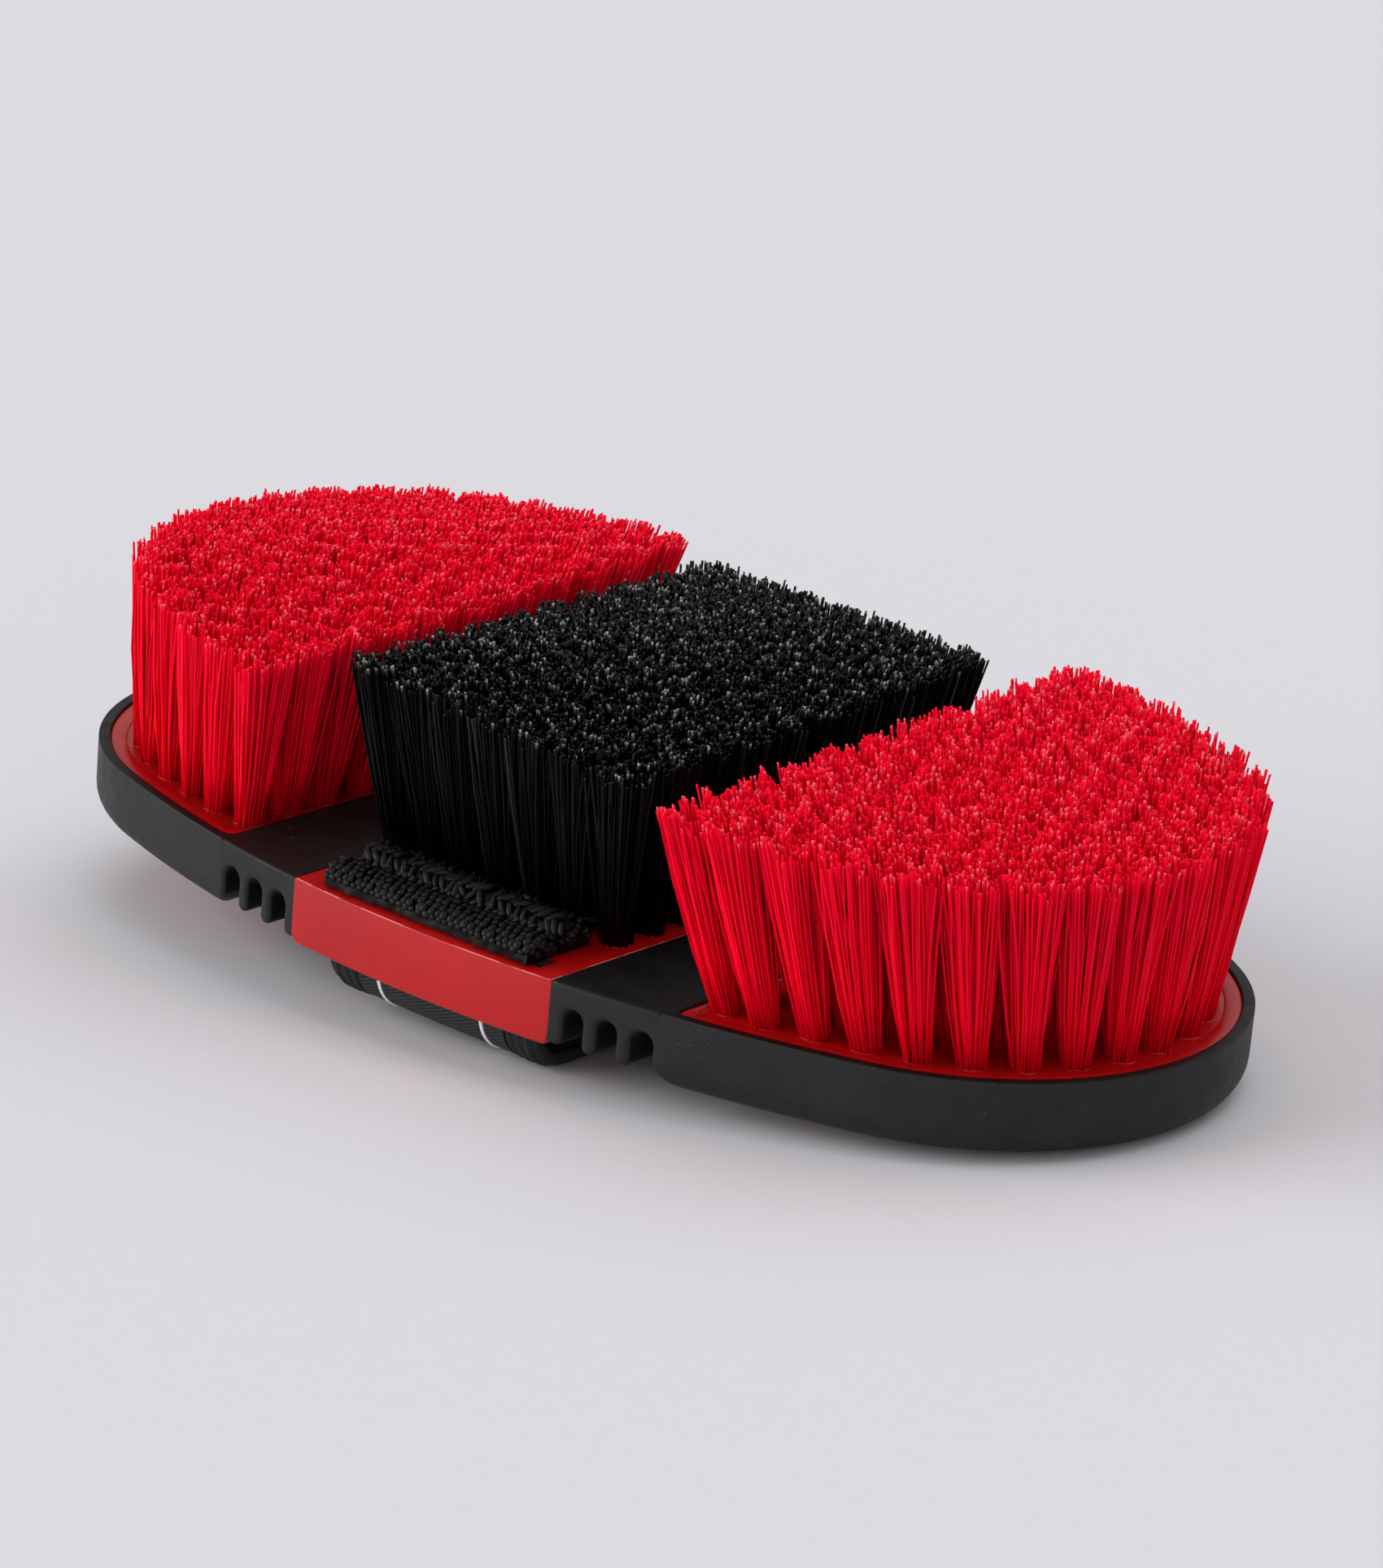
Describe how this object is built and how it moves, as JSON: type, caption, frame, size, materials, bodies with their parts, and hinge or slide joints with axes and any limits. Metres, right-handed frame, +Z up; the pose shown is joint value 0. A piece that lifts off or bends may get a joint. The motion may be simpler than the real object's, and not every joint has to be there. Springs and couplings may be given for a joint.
{
  "type": "flexible body brush",
  "caption": "Oval grooming brush in three tufted blocks joined by grooved rubber flex hinges, with a webbing hand strap across the back; lies bristles up on the strap.",
  "frame": {"origin": "centre of the bounding box, on the floor under the strap", "axes": "X along the length, Y across the width, Z up through the bristles"},
  "size_m": [0.2, 0.104, 0.0474],
  "materials": {
    "red_plastic": "semi-gloss moulded red plastic",
    "black_rubber": "matte moulded black rubber",
    "red_filament": "red synthetic filament, trimmed",
    "black_filament": "black synthetic filament, trimmed",
    "black_webbing": "woven black webbing",
    "black_binding": "ribbed black knitted edge",
    "white_piping": "white woven cord"
  },
  "bodies": {
    "centre": {"centre_block": "red_plastic", "centre_bristles": "black_filament", "hand_strap": "black_webbing", "strap_binding_left": "black_binding", "strap_binding_right": "black_binding", "strap_piping_left": "white_piping", "strap_piping_right": "white_piping", "front_strap_stop": "black_webbing", "rear_strap_stop": "black_webbing", "left_flex_hinge": "black_rubber", "right_flex_hinge": "black_rubber"},
    "left_end": {"left_rim": "black_rubber", "left_end_block": "red_plastic", "left_bristles": "red_filament"},
    "right_end": {"right_rim": "black_rubber", "right_end_block": "red_plastic", "right_bristles": "red_filament"}
  },
  "joints": [
    {"name": "left_flex", "type": "hinge", "parent": "centre", "child": "left_end", "pos_m": [-0.0335, 0, 0.01555], "axis": [0, -1, 0], "range_deg": [-12, 22], "stiffness_Nm_per_rad": 1.2, "deforming": ["left_flex_hinge"]},
    {"name": "right_flex", "type": "hinge", "parent": "centre", "child": "right_end", "pos_m": [0.0335, 0, 0.01555], "axis": [0, 1, 0], "range_deg": [-12, 22], "stiffness_Nm_per_rad": 1.2, "deforming": ["right_flex_hinge"]}
  ]
}
